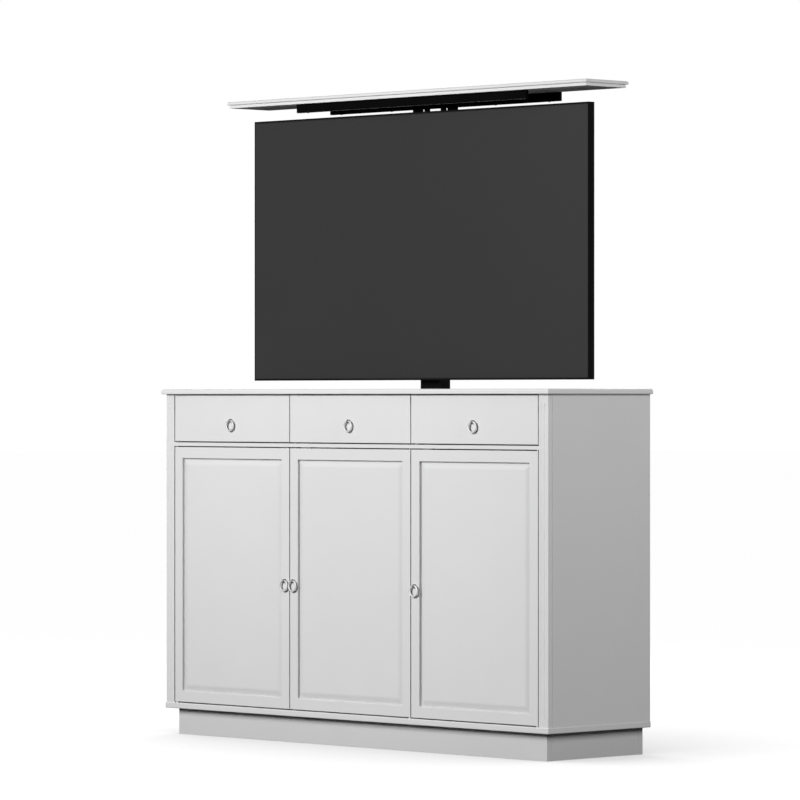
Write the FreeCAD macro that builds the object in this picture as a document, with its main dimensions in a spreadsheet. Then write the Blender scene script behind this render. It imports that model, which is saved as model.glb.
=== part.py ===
"""Television lift cabinet with three drawers, three doors and a raised screen.

The origin lies on the floor under the middle of the top board. X runs to the right, Y to the back and
Z up. The lift is raised: its range runs down from here.
"""
import FreeCAD, Part
import Sketcher
import os
import re

Vector = FreeCAD.Vector

# Driving dimensions, in millimetres.
CELLS = {
    # outline of the case
    "total_width": 1680,
    "total_depth": 440,
    "overhang": 10,
    "reveal": 2,
    "board": 18,
    "base_round": 3,
    "top_thick": 15.5,
    "top_round": 8,
    "case_height": 956.9,
    "plinth_height": 80.6,
    "plinth_setback": 28.5,
    "plinth_inset": 32,
    # corner posts
    "post_width": 37.25,
    "post_depth": 18,
    "post_round": 2,
    "flute_round": 3.4,
    "flute_off": 2.2,
    "flute_first": 14,
    "flute_second": 27,
    "flute_from_top": 26,
    "flute_from_base": 20,
    # inner boards
    "deck": 11,
    "divider": 15,
    "divider_back": 24,
    "well_front": -12,
    "well_board": 9,
    "back_board": 9,
    "back_inset": 3,
    "outlet_round": 30,
    "outlet_up": 150,
    "shelf_board": 16,
    "shelf_up": 480,
    "shelf_play": 1,
    "batten_wide": 10,
    "batten_tall": 14,
    # fronts, doors and drawers
    "bay": 526,
    "gap": 3.5,
    "front_thick": 20,
    "front_round": 1.2,
    "drawer_height": 142,
    "box_wide": 478,
    "box_deep": 160,
    "box_tall": 115,
    "box_board": 10,
    "box_floor": 6,
    "box_play": 0.5,
    "guide_wide": 14,
    "guide_tall": 20,
    "stile": 34.5,
    "top_rail": 34.5,
    "bottom_rail": 34,
    "panel_drop": 9,
    "panel_thick": 6,
    "panel_slope": 18,
    "field_drop": 3,
    "tongue": 8,
    "panel_play": 0.3,
    # door pivots and catches
    "pin_round": 2,
    "pin_fit": 0.05,
    "pin_inset": 6,
    "pin_back": 5,
    "pin_hole": 10,
    "pin_end": 9,
    "collar_round": 4.5,
    "collar_tall": 3.1,
    "catch_wide": 40,
    "catch_deep": 14,
    "catch_tall": 12,
    "catch_in": 46,
    # ring handles
    "ring_mean": 15.5,
    "ring_round": 2.75,
    "ring_stand": 6.5,
    "ring_in": 19,
    "eye_drop": 6,
    "eye_round": 4.8,
    "eye_hole": 3.7,
    "stem_round": 2.5,
    "rose_round": 4.5,
    "rose_thick": 1.2,
    "nut_round": 5,
    "nut_thick": 2.5,
    # lift
    "stroke": 889,
    "column_y": 152.5,
    "column_wall": 2.5,
    "column_round": 3,
    "plate_thick": 6,
    "plate_wide": 280,
    "plate_deep": 94,
    "plate_shift": 60,
    "bolt_round": 4,
    "bolt_head": 7,
    "bolt_tall": 5,
    "outer_wide": 94,
    "outer_deep": 60,
    "outer_top": 960,
    "middle_wide": 84,
    "middle_deep": 47,
    "middle_low": 112,
    "middle_long": 833,
    "inner_wide": 70,
    "inner_deep": 36,
    "inner_low": 122,
    "inner_long": 863,
    "screw_round": 7,
    "screw_top": 640,
    "screw_play": 0.5,
    "nut_fit": 0.05,
    "screw_tube_round": 11,
    "screw_tube_long": 582,
    "gear_wide": 68,
    "gear_deep": 50,
    "gear_tall": 44,
    "motor_round": 24,
    "motor_long": 130,
    "cap_round": 20,
    "cap_tall": 8,
    "control_wide": 180,
    "control_deep": 60,
    "control_tall": 38,
    "control_x": -420,
    "inlet_wide": 28,
    "inlet_tall": 20,
    "inlet_deep": 12,
    # hanger, mount plate and lid supports
    "head_wide": 210,
    "head_front": 100,
    "hanger_wide": 38,
    "hanger_thick": 6,
    "hanger_front": 108,
    "hanger_in": 42,
    "hanger_long": 535,
    "slot_wide": 9,
    "slot_long": 60,
    "slot_pitch": 90,
    "mount_wide": 440,
    "mount_tall": 240,
    "mount_thick": 4,
    "mount_low": 500,
    "window_wide": 110,
    "window_tall": 130,
    "window_x": 145,
    "arm_in": 24,
    "arm_wide": 72.5,
    "arm_thick": 4,
    "arm_slot": 6.5,
    "arm_slot_in": 22.75,
    "arm_slot_end": 8,
    "rail_half": 495,
    "rail_x": 17,
    "rail_deep": 12,
    "rail_tall": 27,
    "rail_wall": 1.5,
    "rail_front": 21,
    "rail_back": 163,
    # lid
    "lid_wide": 1558,
    "lid_deep": 180,
    "lid_y": 91,
    "lid_low": 1952,
    "lid_step": 6,
    "lid_step_tall": 8,
    "lid_groove": 2.4,
    "lid_groove_tall": 1.4,
    "lid_top": 10,
    "lid_round": 3,
    "lid_top_round": 6,
    "lid_play": 2,
    # screen
    "tv_wide": 1448,
    "tv_tall": 811.6,
    "tv_front": 68,
    "tv_low": 1098.2,
    "tv_frame_deep": 22,
    "tv_bezel": 3,
    "tv_strip": 5,
    "tv_glass_in": 0.8,
    "tv_glass": 6,
    "tv_back": 3,
    "hump_wide": 900,
    "hump_tall": 430,
    "hump_deep": 11,
    "hump_low": 120,
    "hump_slope": 14,
    "hump_wall": 3,
}

# Places that several pieces share, as formulas over the cells.
BASE_HALF = "(total_width / 2 - overhang)"
CASE_HALF = "(total_width / 2 - overhang - reveal)"
BASE_FRONT = "(overhang - total_depth / 2)"
FACE = "(overhang + reveal - total_depth / 2)"
FRONT_BACK = f"({FACE} + front_thick)"
BACK = "(total_depth / 2)"
BASE_TOP = "(plinth_height + board)"
CASE_TOP = "(plinth_height + board + case_height)"
DECK_TOP = f"({CASE_TOP} - drawer_height - 2 * gap)"
DECK_LOW = f"({DECK_TOP} - deck)"
DIVIDER_FRONT = f"({FACE} + divider_back)"
DIVIDER_DEEP = f"(well_front - {DIVIDER_FRONT})"
FRONT_WIDTH = "(bay - gap)"
DOOR_LOW = f"({BASE_TOP} + gap)"
DOOR_HEIGHT = f"({DECK_LOW} - {BASE_TOP} - 2 * gap)"
DRAWER_LOW = f"({DECK_TOP} + gap)"
PANEL_WIDE = f"({FRONT_WIDTH} - 2 * stile)"
PANEL_TALL = f"({DOOR_HEIGHT} - top_rail - bottom_rail)"
PIN_X = "(1.5 * bay - gap / 2 - pin_inset)"
PIN_Y = f"({FACE} + pin_back)"
RING_Y = f"({FACE} - ring_stand)"
DRAWER_EYE_Z = f"({DRAWER_LOW} + drawer_height / 2 - eye_drop)"
DOOR_EYE_Z = f"({DOOR_LOW} + {DOOR_HEIGHT} / 2 - eye_drop)"
HEAD_LOW = "(inner_low + inner_long + stroke)"
HEAD_TOP = f"({HEAD_LOW} + plate_thick)"
TV_REAR = "(tv_front + tv_frame_deep)"

# The three bays, from left to right: name, middle in bays, door's hinge x, door's ring x.
BAYS = (
    ("left", -1, f"(-{PIN_X})", "(-0.5 * bay - ring_in)"),
    ("middle", 0, f"({PIN_X} - bay)", "(-0.5 * bay + ring_in)"),
    ("right", 1, PIN_X, "(0.5 * bay + ring_in)"),
)
SIDES = (("left", -1), ("right", 1))

doc = FreeCAD.newDocument("tv_lift_cabinet")
nodes = []


# ---------------------------------------------------------------- sheet and small makers

def fill_sheet():
    """Write the driving dimensions into the spreadsheet."""
    page = doc.addObject("Spreadsheet::Sheet", "Sizes")
    for row, (alias, value) in enumerate(CELLS.items(), start=1):
        page.set(f"A{row}", alias)
        page.set(f"B{row}", str(value))
        page.setAlias(f"B{row}", alias)
    doc.recompute()
    return page


def sized(formula):
    """Turn a formula over cell names into an expression on the sheet."""
    def full(word):
        return "Sizes." + word.group() if word.group() in CELLS else word.group()
    return re.sub(r"[a-z]\w*", full, str(formula))


def size_of(formula):
    """Today's value of a formula, in millimetres."""
    return float(sheet.evalExpression(sized(formula)))


def node(name, piece):
    """Name a finished piece; its label is also its file's name."""
    piece.Label = name
    nodes.append(piece)
    return piece


def placed(piece, corner):
    """Tie a piece's place to three formulas."""
    for axis, formula in zip("xyz", corner):
        piece.setExpression(f"Placement.Base.{axis}", sized(formula))
    return piece


def box(name, size, corner):
    """A plain board or block, from its size and its low left front corner."""
    piece = doc.addObject("Part::Box", name)
    for side, formula in zip(("Length", "Width", "Height"), size):
        piece.setExpression(side, sized(formula))
    return placed(piece, corner)


def middle_box(name, size, foot):
    """A block whose foot is centred on x and y."""
    corner = (f"{foot[0]} - {size[0]} / 2", f"{foot[1]} - {size[1]} / 2", foot[2])
    return box(name, size, corner)


TURNS = {
    "x": FreeCAD.Rotation(Vector(0, 1, 0), 90),
    "y": FreeCAD.Rotation(Vector(1, 0, 0), -90),
    "z": FreeCAD.Rotation(),
}


def cylinder(name, radius, length, foot, along="z"):
    """A round bar that starts at its foot and runs along one axis."""
    piece = doc.addObject("Part::Cylinder", name)
    piece.setExpression("Radius", sized(radius))
    piece.setExpression("Height", sized(length))
    piece.Placement = FreeCAD.Placement(Vector(), TURNS[along])
    return placed(piece, foot)


def sphere(name, radius, middle):
    piece = doc.addObject("Part::Sphere", name)
    piece.setExpression("Radius", sized(radius))
    return placed(piece, middle)


def group(name, pieces):
    """Like pieces that share one node as separate solids."""
    compound = doc.addObject("Part::Compound", name)
    compound.Links = pieces
    return compound


def fuse(name, pieces):
    joined = doc.addObject("Part::MultiFuse", name)
    joined.Shapes = pieces
    joined.Refine = True
    return joined


def cut(name, base, tools):
    """The base without its tools."""
    result = doc.addObject("Part::Cut", name)
    result.Base = base
    result.Tool = tools[0] if len(tools) == 1 else group(name + "_tools", tools)
    return result


def body(name, corner):
    piece = doc.addObject("PartDesign::Body", name)
    return placed(piece, corner)


def sketch(piece, role, rise="0"):
    """A sketch on one of the body's own planes, moved along its normal."""
    drawing = piece.newObject("Sketcher::SketchObject", piece.Name + "_sketch")
    plane = [item for item in piece.Origin.OriginFeatures if item.Role == role][0]
    drawing.AttachmentSupport = [(plane, "")]
    drawing.MapMode = "FlatFace"
    drawing.setExpression("AttachmentOffset.Base.z", sized(rise))
    return drawing


def bind(drawing, kind, ends, formula):
    """Add one dimension to a sketch and tie it to a formula."""
    index = drawing.addConstraint(Sketcher.Constraint(kind, *ends, size_of(formula)))
    drawing.setExpression(f"Constraints[{index}]", sized(formula))


def rectangle(drawing, size, corner):
    """A rectangle from its size and its low left corner."""
    wide, tall = (size_of(formula) for formula in size)
    left, low = (size_of(formula) for formula in corner)
    points = [Vector(left, low), Vector(left + wide, low),
              Vector(left + wide, low + tall), Vector(left, low + tall)]
    first = drawing.GeometryCount
    for turn in range(4):
        drawing.addGeometry(Part.LineSegment(points[turn], points[(turn + 1) % 4]), False)
    for turn in range(4):
        ends = (first + turn, 2, first + (turn + 1) % 4, 1)
        drawing.addConstraint(Sketcher.Constraint("Coincident", *ends))
        level = "Horizontal" if turn % 2 == 0 else "Vertical"
        drawing.addConstraint(Sketcher.Constraint(level, first + turn))
    bind(drawing, "DistanceX", (first, 1, first, 2), size[0])
    bind(drawing, "DistanceY", (first + 1, 1, first + 1, 2), size[1])
    bind(drawing, "DistanceX", (-1, 1, first, 1), corner[0])
    bind(drawing, "DistanceY", (-1, 1, first, 1), corner[1])


def middle_rectangle(drawing, size):
    """A rectangle centred on the sketch's origin."""
    rectangle(drawing, size, (f"-{size[0]} / 2", f"-{size[1]} / 2"))


def circle(drawing, radius, middle):
    """A circle from its radius and its middle."""
    x, y = (size_of(formula) for formula in middle)
    index = drawing.GeometryCount
    drawing.addGeometry(Part.Circle(Vector(x, y), Vector(0, 0, 1), size_of(radius)), False)
    bind(drawing, "Radius", (index,), radius)
    bind(drawing, "DistanceX", (-1, 1, index, 3), middle[0])
    bind(drawing, "DistanceY", (-1, 1, index, 3), middle[1])


def feature(piece, kind, drawing, length, back=False):
    """A pad or a pocket of one sketch; back turns its direction over."""
    item = piece.newObject("PartDesign::" + kind, piece.Name + "_" + kind.lower())
    item.Profile = drawing
    item.setExpression("Length", sized(length))
    item.Reversed = back
    doc.recompute()
    return item


def soften(piece, radius, wanted):
    """Round the edges of the body's last feature whose middle the test accepts."""
    last = piece.Tip
    names = [f"Edge{number}" for number, edge in enumerate(last.Shape.Edges, start=1)
             if wanted(edge.BoundBox)]
    item = piece.newObject("PartDesign::Fillet", piece.Name + "_round")
    item.Base = (last, names)
    item.setExpression("Radius", sized(radius))
    doc.recompute()
    return item


def level_at(*heights):
    """A test for edges that lie flat at one of the given heights."""
    def wanted(bounds):
        return bounds.ZLength < 1e-4 and any(abs(bounds.ZMin - z) < 1e-4 for z in heights)
    return wanted


def upright(bounds):
    """A test for vertical edges."""
    return bounds.XLength < 1e-4 and bounds.YLength < 1e-4 and bounds.ZLength > 1


def on_front(bounds):
    """A test for the edges of a front's outer face."""
    return bounds.YLength < 1e-4 and abs(bounds.YMin) < 1e-4


# ---------------------------------------------------------------- case

def make_plinth():
    half = f"({BASE_HALF} - plinth_inset)"
    front = f"({BASE_FRONT} + plinth_setback)"
    size = (f"2 * {half}", "board", "plinth_height")
    node("plinth_front", box("plinth_front", size, (f"-{half}", front, "0")))
    node("plinth_back", box("plinth_back", size, (f"-{half}", f"{BACK} - board", "0")))
    side = ("board", f"{BACK} - {front} - 2 * board", "plinth_height")
    starts = (f"-{half}", f"{half} - board")
    returns = [box("plinth_return", side, (start, f"{front} + board", "0")) for start in starts]
    node("plinth_returns", group("plinth_returns", returns))


def make_bottom_board():
    piece = body("bottom_board", ("0", "0", "plinth_height"))
    outline = sketch(piece, "XY_Plane")
    rectangle(outline, (f"2 * {BASE_HALF}", f"{BACK} - {BASE_FRONT}"), (f"-{BASE_HALF}", BASE_FRONT))
    feature(piece, "Pad", outline, "board")
    front = size_of(BASE_FRONT)
    half = size_of(BASE_HALF)
    flat = level_at(0, size_of("board"))
    soften(piece, "base_round", lambda edge: flat(edge) and (
        abs(edge.YMax - front) < 1e-4 or abs(edge.XMax + half) < 1e-4 or abs(edge.XMin - half) < 1e-4))
    holes = sketch(piece, "XY_Plane", "board")
    for _, _, pin_x, _ in BAYS:
        circle(holes, "pin_round", (pin_x, PIN_Y))
    feature(piece, "Pocket", holes, "pin_hole")
    node("bottom_board", piece)


def make_top_board():
    piece = body("top_board", ("0", "0", CASE_TOP))
    outline = sketch(piece, "XY_Plane")
    rectangle(outline, ("total_width", "total_depth"), ("-total_width / 2", "-total_depth / 2"))
    wide = "(lid_wide - 2 * lid_step + 2 * lid_play)"
    deep = "(lid_deep - 2 * lid_step + 2 * lid_play)"
    rectangle(outline, (wide, deep), (f"-{wide} / 2", f"lid_y - {deep} / 2"))
    feature(piece, "Pad", outline, "top_thick")
    front = size_of("total_depth / 2")
    half = size_of("total_width / 2")

    def outer(edge):
        return abs(edge.YMax + front) < 1e-4 or abs(edge.XMax + half) < 1e-4 or abs(edge.XMin - half) < 1e-4
    top = level_at(size_of("top_thick"))
    under = level_at(0)
    soften(piece, "top_round", lambda edge: top(edge) and outer(edge))
    soften(piece, "base_round", lambda edge: under(edge) and outer(edge))
    node("top_board", piece)


def make_sides():
    """Side panels, and the fluted posts in front of them."""
    for name, sign in SIDES:
        start = f"-{CASE_HALF}" if sign < 0 else f"{CASE_HALF} - board"
        front = f"({FACE} + post_depth)"
        piece = body(f"side_{name}", (start, front, BASE_TOP))
        outline = sketch(piece, "XY_Plane")
        rectangle(outline, ("board", f"{BACK} - {front}"), ("0", "0"))
        feature(piece, "Pad", outline, "case_height")
        outer = 0 if sign < 0 else size_of("board")
        soften(piece, "front_round", lambda edge: upright(edge) and abs(edge.XMin - outer) < 1e-4
               and abs(edge.YMin) < 1e-4)
        node(f"side_{name}", piece)
        make_post(name, sign)


def make_post(name, sign):
    start = f"-{CASE_HALF}" if sign < 0 else f"{CASE_HALF} - post_width"
    piece = body(f"post_{name}_blank", (start, FACE, BASE_TOP))
    outline = sketch(piece, "XY_Plane")
    rectangle(outline, ("post_width", "post_depth"), ("0", "0"))
    feature(piece, "Pad", outline, "case_height")
    outer = 0 if sign < 0 else size_of("post_width")
    soften(piece, "post_round", lambda edge: upright(edge) and abs(edge.XMin - outer) < 1e-4)
    low = f"({BASE_TOP} + flute_from_base + flute_round)"
    high = f"({CASE_TOP} - flute_from_top - flute_round)"
    before = f"({FACE} - flute_off)"
    cutters = []
    for offset in ("flute_first", "flute_second"):
        x = f"{sign} * ({CASE_HALF} - {offset})"
        cutters.append(cylinder("flute_run", "flute_round", f"{high} - {low}", (x, before, low)))
        cutters.append(sphere("flute_low_end", "flute_round", (x, before, low)))
        cutters.append(sphere("flute_high_end", "flute_round", (x, before, high)))
    node(f"post_{name}", cut(f"post_{name}", piece, cutters))


def make_deck():
    """Board under the drawers; its nose shows as the thin front rail."""
    inner = f"({CASE_HALF} - board)"
    nose = f"({CASE_HALF} - post_width)"
    behind = f"({FACE} + post_depth)"
    size = (f"2 * {inner}", f"well_front - {behind}", "deck")
    board = box("deck_board", size, (f"-{inner}", behind, DECK_LOW))
    lip = box("deck_nose", (f"2 * {nose}", "post_depth", "deck"), (f"-{nose}", FACE, DECK_LOW))
    holes = [cylinder("deck_pin_hole", "pin_round", "pin_hole", (pin_x, PIN_Y, DECK_LOW))
             for _, _, pin_x, _ in BAYS]
    node("drawer_deck", cut("drawer_deck", fuse("deck_blank", [board, lip]), holes))


def make_dividers():
    layers = (("lower_dividers", BASE_TOP, DECK_LOW), ("upper_dividers", DECK_TOP, CASE_TOP))
    for name, low, high in layers:
        size = ("divider", DIVIDER_DEEP, f"{high} - {low}")
        pair = [box("divider", size, (f"{sign} * bay / 2 - divider / 2", DIVIDER_FRONT, low))
                for _, sign in SIDES]
        node(name, group(name, pair))


def make_well():
    """Board between the storage and the lift, and the back with its cable outlet."""
    inner = f"({CASE_HALF} - board)"
    size = (f"2 * {inner}", "well_board", "case_height")
    node("well_partition", box("well_partition", size, (f"-{inner}", "well_front", BASE_TOP)))
    start = f"({BACK} - back_inset - back_board)"
    panel = box("back_blank", (f"2 * {inner}", "back_board", "case_height"), (f"-{inner}", start, BASE_TOP))
    outlet = cylinder("cable_outlet", "outlet_round", "3 * back_board",
                      ("control_x", f"{start} - back_board", f"{BASE_TOP} + outlet_up"), "y")
    node("back_panel", cut("back_panel", panel, [outlet]))


def make_shelves():
    """One shelf behind each door, on two battens."""
    shelves = []
    battens = []
    deep = f"({DIVIDER_DEEP} - 2 * shelf_play)"
    front = f"({DIVIDER_FRONT} + shelf_play)"
    for name, middle, _, _ in BAYS:
        inner = "(bay / 2 - divider / 2)"
        outer = f"({CASE_HALF} - board)"
        left = f"(-{outer})" if middle < 0 else (f"(-{inner})" if middle == 0 else "(bay / 2 + divider / 2)")
        right = f"{outer}" if middle > 0 else (f"{inner}" if middle == 0 else "(-bay / 2 - divider / 2)")
        size = (f"{right} - {left} - 2 * shelf_play", deep, "shelf_board")
        shelves.append(box(f"shelf_{name}", size, (f"{left} + shelf_play", front, "shelf_up")))
        size = ("batten_wide", deep, "batten_tall")
        for start in (left, f"({right} - batten_wide)"):
            battens.append(box("batten", size, (start, front, "shelf_up - batten_tall")))
    node("shelves", group("shelves", shelves))
    node("shelf_battens", group("shelf_battens", battens))


# ---------------------------------------------------------------- drawers and doors

def make_drawers():
    guides = []
    for name, middle, _, _ in BAYS:
        x = f"{middle} * bay"
        make_drawer(name, x)
        for _, sign in SIDES:
            gap = "(box_wide / 2 + box_play)"
            start = f"{x} + {gap}" if sign > 0 else f"{x} - {gap} - guide_wide"
            guides.append(box("guide", ("guide_wide", DIVIDER_DEEP, "guide_tall"),
                              (start, DIVIDER_FRONT, DECK_TOP)))
    node("drawer_guides", group("drawer_guides", guides))


def make_drawer(name, x):
    front = body(f"drawer_{name}_front", (x, FACE, DRAWER_LOW))
    outline = sketch(front, "XZ_Plane")
    rectangle(outline, (FRONT_WIDTH, "drawer_height"), (f"-{FRONT_WIDTH} / 2", "0"))
    feature(front, "Pad", outline, "front_thick", back=True)
    soften(front, "front_round", on_front)
    hole = sketch(front, "XZ_Plane")
    circle(hole, "stem_round", ("0", "drawer_height / 2 - eye_drop"))
    feature(front, "Pocket", hole, "front_thick")
    node(f"drawer_{name}_front", front)

    low = f"{DECK_TOP} + box_play"
    block = box(f"box_{name}_block", ("box_wide", "box_deep", "box_tall"),
                (f"{x} - box_wide / 2", FRONT_BACK, low))
    space = box(f"box_{name}_space", ("box_wide - 2 * box_board", "box_deep - box_board", "box_tall"),
                (f"{x} - box_wide / 2 + box_board", FRONT_BACK, f"{low} + box_floor"))
    node(f"drawer_{name}_box", cut(f"drawer_{name}_box", block, [space]))
    make_handle(f"drawer_{name}", x, DRAWER_EYE_Z)


def make_handle(name, x, z):
    """A ring that hangs in an eye; the eye's stem is held by a nut behind the front."""
    ball = sphere("eye_ball", "eye_round", (x, RING_Y, z))
    rose = cylinder("eye_rose", "rose_round", "rose_thick", (x, f"{FACE} - rose_thick", z), "y")
    stem = cylinder("eye_stem", "stem_round", "ring_stand + front_thick", (x, RING_Y, z), "y")
    nut = cylinder("eye_nut", "nut_round", "nut_thick", (x, FRONT_BACK, z), "y")
    hole = cylinder("eye_way", "eye_hole", "4 * eye_round", (f"{x} - 2 * eye_round", RING_Y, z), "x")
    solid = fuse(f"{name}_eye_blank", [ball, rose, stem, nut])
    node(f"{name}_eye", cut(f"{name}_eye", solid, [hole]))
    ring = doc.addObject("Part::Torus", f"{name}_ring")
    ring.setExpression("Radius1", sized("ring_mean"))
    ring.setExpression("Radius2", sized("ring_round"))
    ring.Placement = FreeCAD.Placement(Vector(), TURNS["y"])
    node(f"{name}_ring", placed(ring, (x, RING_Y, f"{z} - ring_mean")))


def make_door(name, x, pin_x, ring_x):
    piece = body(f"door_{name}_frame", (x, FACE, DOOR_LOW))
    half = f"({FRONT_WIDTH} / 2)"
    outline = sketch(piece, "XZ_Plane")
    rectangle(outline, (FRONT_WIDTH, DOOR_HEIGHT), (f"-{half}", "0"))
    rectangle(outline, (PANEL_WIDE, PANEL_TALL), (f"stile - {half}", "bottom_rail"))
    feature(piece, "Pad", outline, "front_thick", back=True)
    soften(piece, "front_round", on_front)
    groove = sketch(piece, "XZ_Plane", "-panel_drop")
    rectangle(groove, (f"{PANEL_WIDE} + 2 * tongue", f"{PANEL_TALL} + 2 * tongue"),
              (f"stile - tongue - {half}", "bottom_rail - tongue"))
    feature(piece, "Pocket", groove, "panel_thick")
    low_pin = sketch(piece, "XY_Plane")
    circle(low_pin, "pin_round + pin_fit", (f"{pin_x} - {x}", "pin_back"))
    feature(piece, "Pocket", low_pin, "pin_hole", back=True)
    high_pin = sketch(piece, "XY_Plane", DOOR_HEIGHT)
    circle(high_pin, "pin_round + pin_fit", (f"{pin_x} - {x}", "pin_back"))
    feature(piece, "Pocket", high_pin, "pin_hole")
    stem = sketch(piece, "XZ_Plane")
    circle(stem, "stem_round", (f"{ring_x} - {x}", f"{DOOR_HEIGHT} / 2 - eye_drop"))
    feature(piece, "Pocket", stem, "front_thick")
    node(f"door_{name}_frame", piece)
    make_panel(name, x)
    make_handle(f"door_{name}", ring_x, DOOR_EYE_Z)


def make_panel(name, x):
    """Raised panel: a tongue in the frame's groove and a sloped border up to a flat field."""
    reach = "(tongue - panel_play)"
    wide = f"({PANEL_WIDE} + 2 * {reach})"
    tall = f"({PANEL_TALL} + 2 * {reach})"
    low = f"{DOOR_LOW} + bottom_rail"
    tongue = box(f"panel_{name}_tongue", (wide, "panel_thick", tall),
                 (f"{x} - {wide} / 2", f"{FACE} + panel_drop", f"{low} - {reach}"))
    field = doc.addObject("Part::Wedge", f"panel_{name}_field")
    rim_x = f"({PANEL_WIDE} / 2 - panel_play)"
    rim_z = f"({PANEL_TALL} - panel_play)"
    edges = {
        "Ymin": "0", "Ymax": "panel_drop - field_drop",
        "Xmin": f"panel_slope - {rim_x}", "Xmax": f"{rim_x} - panel_slope",
        "X2min": f"-{rim_x}", "X2max": rim_x,
        "Zmin": "panel_play + panel_slope", "Zmax": f"{rim_z} - panel_slope",
        "Z2min": "panel_play", "Z2max": rim_z,
    }
    for edge, formula in edges.items():
        setattr(field, edge, size_of(formula))
        field.setExpression(edge, sized(formula))
    placed(field, (x, f"{FACE} + field_drop", low))
    node(f"door_{name}_panel", fuse(f"door_{name}_panel", [tongue, field]))


def make_doors():
    pins = []
    catches = []
    catch_size = ("catch_wide", "catch_deep", "catch_tall")
    for name, middle, pin_x, ring_x in BAYS:
        make_door(name, f"{middle} * bay", pin_x, ring_x)
        low_start = f"{BASE_TOP} - pin_hole"
        low_pin = cylinder("low_pin", "pin_round", "pin_hole + gap + pin_end", (pin_x, PIN_Y, low_start))
        collar = cylinder("collar", "collar_round", "collar_tall", (pin_x, PIN_Y, BASE_TOP))
        pins.append(fuse(f"low_pin_{name}", [low_pin, collar]))
        high_start = f"{DECK_LOW} - gap - pin_end"
        pins.append(cylinder("high_pin", "pin_round", "pin_end + gap + pin_hole", (pin_x, PIN_Y, high_start)))
        side = -1 if middle < 0 else 1
        start = f"{ring_x} + {side} * (catch_in - ring_in) - catch_wide / 2"
        corner = (start, f"{FRONT_BACK} + gap / 5", f"{DECK_LOW} - catch_tall")
        catches.append(box("catch", catch_size, corner))
    node("door_pivot_pins", group("door_pivot_pins", pins))
    node("door_catches", group("door_catches", catches))


# ---------------------------------------------------------------- lift, fixed part

def make_tube(name, wide, deep, foot, length, floor_hole=None):
    """A square column of bent sheet; a moving column has a floor with a hole for its screw."""
    piece = body(name, foot)
    outline = sketch(piece, "XY_Plane")
    middle_rectangle(outline, (wide, deep))
    middle_rectangle(outline, (f"({wide} - 2 * column_wall)", f"({deep} - 2 * column_wall)"))
    feature(piece, "Pad", outline, length)
    half_x = size_of(wide) / 2
    soften(piece, "column_round", lambda edge: upright(edge) and abs(abs(edge.XMin) - half_x) < 1e-4)
    if floor_hole:
        floor = sketch(piece, "XY_Plane")
        inner = (f"({wide} - 2 * column_wall)", f"({deep} - 2 * column_wall)")
        middle_rectangle(floor, inner)
        circle(floor, floor_hole, ("0", "0"))
        feature(piece, "Pad", floor, "plate_thick")
    return node(name, piece)


def make_lift_base():
    plate = body("lift_base_plate", ("plate_shift", "column_y", BASE_TOP))
    outline = sketch(plate, "XY_Plane")
    middle_rectangle(outline, ("plate_wide", "plate_deep"))
    spots = [(f"{sx} * (plate_wide / 2 - 2 * bolt_head)", f"{sy} * (plate_deep / 2 - 1.5 * bolt_head)")
             for sx in (-1, 1) for sy in (-1, 1)]
    for spot in spots:
        circle(outline, "bolt_round", spot)
    feature(plate, "Pad", outline, "plate_thick")
    node("lift_base_plate", plate)
    bolts = []
    for x, y in spots:
        x = f"plate_shift + {x}"
        y = f"column_y + {y}"
        shank = cylinder("bolt_shank", "bolt_round", "plate_thick", (x, y, BASE_TOP))
        head = doc.addObject("Part::Prism", "bolt_head")
        head.Polygon = 6
        head.setExpression("Circumradius", sized("bolt_head"))
        head.setExpression("Height", sized("bolt_tall"))
        placed(head, (x, y, f"{BASE_TOP} + plate_thick"))
        bolts.append(fuse("bolt", [shank, head]))
    node("lift_bolts", group("lift_bolts", bolts))


def make_drive():
    """Gear motor beside the fixed column, its screw, and the control box on the well's floor."""
    floor = f"({BASE_TOP} + plate_thick)"
    gear_x = "(outer_wide / 2 + gear_wide / 2)"
    gear = middle_box("gear_case", ("gear_wide", "gear_deep", "gear_tall"), (gear_x, "column_y", floor))
    can = cylinder("motor_can", "motor_round", "motor_long", (gear_x, "column_y", f"{floor} + gear_tall"))
    cap = cylinder("motor_cap", "cap_round", "cap_tall",
                   (gear_x, "column_y", f"{floor} + gear_tall + motor_long"))
    node("lift_motor", fuse("lift_motor", [gear, can, cap]))
    screw = cylinder("drive_screw", "screw_round", f"screw_top - {floor}", ("0", "column_y", floor))
    node("drive_screw", screw)

    control = body("control_box", ("control_x", "column_y", BASE_TOP))
    outline = sketch(control, "XY_Plane")
    middle_rectangle(outline, ("control_wide", "control_deep"))
    feature(control, "Pad", outline, "control_tall")
    soften(control, "column_round", lambda edge: upright(edge) or level_at(size_of("control_tall"))(edge))
    inlet = sketch(control, "XZ_Plane", "-control_deep / 2")
    rectangle(inlet, ("inlet_wide", "inlet_tall"),
              ("-inlet_wide / 2", "(control_tall - inlet_tall) / 2"))
    feature(control, "Pocket", inlet, "inlet_deep", back=True)
    node("control_box", control)


def make_columns():
    floor = f"({BASE_TOP} + plate_thick)"
    foot = ("0", "column_y", floor)
    make_tube("outer_column", "outer_wide", "outer_deep", foot, f"outer_top - {floor}")
    foot = ("0", "column_y", "middle_low + stroke / 2")
    make_tube("middle_column", "middle_wide", "middle_deep", foot, "middle_long", "screw_round + nut_fit")
    foot = ("0", "column_y", "inner_low + stroke")
    make_tube("inner_column", "inner_wide", "inner_deep", foot, "inner_long", "screw_tube_round + nut_fit")
    low = "(middle_low + stroke / 2 + plate_thick)"
    bar = cylinder("screw_tube_bar", "screw_tube_round", "screw_tube_long", ("0", "column_y", low))
    way = cylinder("screw_tube_way", "screw_round + screw_play", "screw_tube_long", ("0", "column_y", low))
    node("screw_tube", cut("screw_tube", bar, [way]))


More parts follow.
